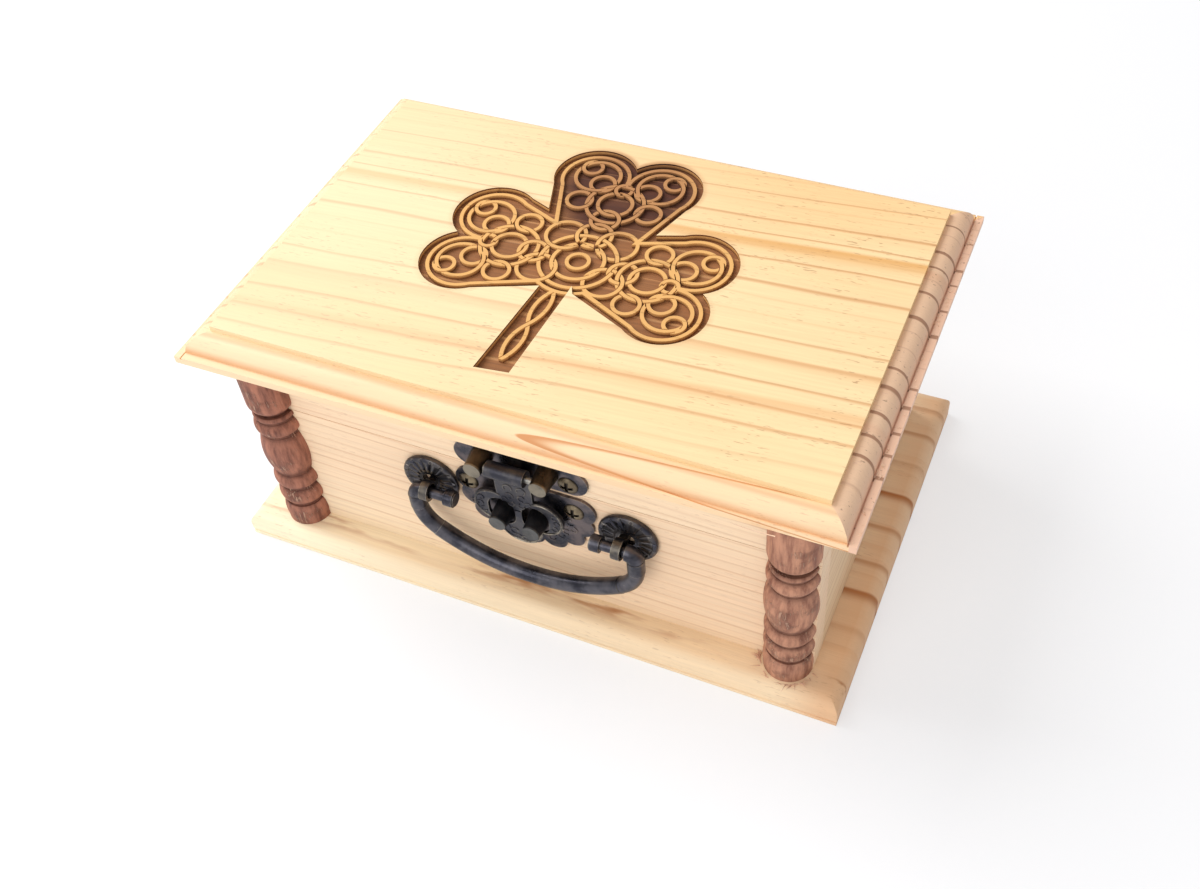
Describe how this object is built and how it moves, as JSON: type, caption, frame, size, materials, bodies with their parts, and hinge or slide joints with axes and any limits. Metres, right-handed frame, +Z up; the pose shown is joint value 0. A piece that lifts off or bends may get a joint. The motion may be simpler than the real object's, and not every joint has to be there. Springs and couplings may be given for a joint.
{
  "type": "keepsake box",
  "caption": "Small wooden keepsake box with a hinged lid that has an interlaced shamrock cut in it, split turned corner columns, a two-stud hasp latch and a bail pull.",
  "frame": {"origin": "middle of the base's underside, on the surface the box stands on", "axes": "+Z up, -Y out of the front with the latch and the pull, +X to the right seen from the front"},
  "size_m": [0.16, 0.1064, 0.0729],
  "materials": {
    "base_board": "pale pine, bare and lightly rubbed",
    "front_wall": "pale pine, bare and lightly rubbed",
    "back_wall": "pale pine, bare and lightly rubbed",
    "left_wall": "pale pine, bare and lightly rubbed",
    "right_wall": "pale pine, bare and lightly rubbed",
    "left_column": "red-brown stained hardwood, straight off the lathe",
    "right_column": "red-brown stained hardwood, straight off the lathe",
    "keeper_plate": "blackened antique finish, worn brassy at the edges",
    "keeper_studs": "dull worn metal",
    "keeper_screws": "dulled brass",
    "left_rosette": "blackened antique finish, worn brassy at the edges",
    "right_rosette": "blackened antique finish, worn brassy at the edges",
    "left_eye": "dull worn metal",
    "right_eye": "dull worn metal",
    "left_hinge_box_leaf": "dulled brass",
    "right_hinge_box_leaf": "dulled brass",
    "left_hinge_pin": "dull worn metal",
    "right_hinge_pin": "dull worn metal",
    "hinge_box_screws": "dulled brass",
    "lid_board": "pale pine, bare and lightly rubbed",
    "front_skirt": "pale pine, bare and lightly rubbed",
    "back_skirt": "pale pine, bare and lightly rubbed",
    "left_skirt": "pale pine, bare and lightly rubbed",
    "right_skirt": "pale pine, bare and lightly rubbed",
    "left_column_cap": "red-brown stained hardwood, straight off the lathe",
    "right_column_cap": "red-brown stained hardwood, straight off the lathe",
    "latch_plate": "blackened antique finish, worn brassy at the edges",
    "latch_posts": "brown antique finish",
    "latch_pin": "dull worn metal",
    "latch_screw": "dulled brass",
    "left_hinge_lid_leaf": "dulled brass",
    "right_hinge_lid_leaf": "dulled brass",
    "hinge_lid_screws": "dulled brass",
    "hasp": "blackened antique finish, worn brassy at the edges",
    "bail": "blackened antique finish, worn brassy at the edges"
  },
  "bodies": {
    "box": {"base_board": "base_board", "front_wall": "front_wall", "back_wall": "back_wall", "left_wall": "left_wall", "right_wall": "right_wall", "left_column": "left_column", "right_column": "right_column", "keeper_plate": "keeper_plate", "keeper_studs": "keeper_studs", "keeper_screws": "keeper_screws", "left_rosette": "left_rosette", "right_rosette": "right_rosette", "left_eye": "left_eye", "right_eye": "right_eye", "left_hinge_box_leaf": "left_hinge_box_leaf", "right_hinge_box_leaf": "right_hinge_box_leaf", "left_hinge_pin": "left_hinge_pin", "right_hinge_pin": "right_hinge_pin", "hinge_box_screws": "hinge_box_screws"},
    "lid": {"lid_board": "lid_board", "front_skirt": "front_skirt", "back_skirt": "back_skirt", "left_skirt": "left_skirt", "right_skirt": "right_skirt", "left_column_cap": "left_column_cap", "right_column_cap": "right_column_cap", "latch_plate": "latch_plate", "latch_posts": "latch_posts", "latch_pin": "latch_pin", "latch_screw": "latch_screw", "left_hinge_lid_leaf": "left_hinge_lid_leaf", "right_hinge_lid_leaf": "right_hinge_lid_leaf", "hinge_lid_screws": "hinge_lid_screws"},
    "hasp": {"hasp": "hasp"},
    "bail": {"bail": "bail"}
  },
  "joints": [
    {"name": "lid_hinge", "type": "hinge", "parent": "box", "child": "lid", "pos_m": [0, 0.04525, 0.0466], "axis": [-1, 0, 0], "range_deg": [0, 150]},
    {"name": "hasp_hinge", "type": "hinge", "parent": "lid", "child": "hasp", "pos_m": [0.0008, -0.0474, 0.0522], "axis": [-1, 0, 0], "range_deg": [0, 140]},
    {"name": "bail_swing", "type": "hinge", "parent": "box", "child": "bail", "pos_m": [0.00245, -0.0477, 0.0369], "axis": [-1, 0, 0], "range_deg": [-4, 120]}
  ]
}
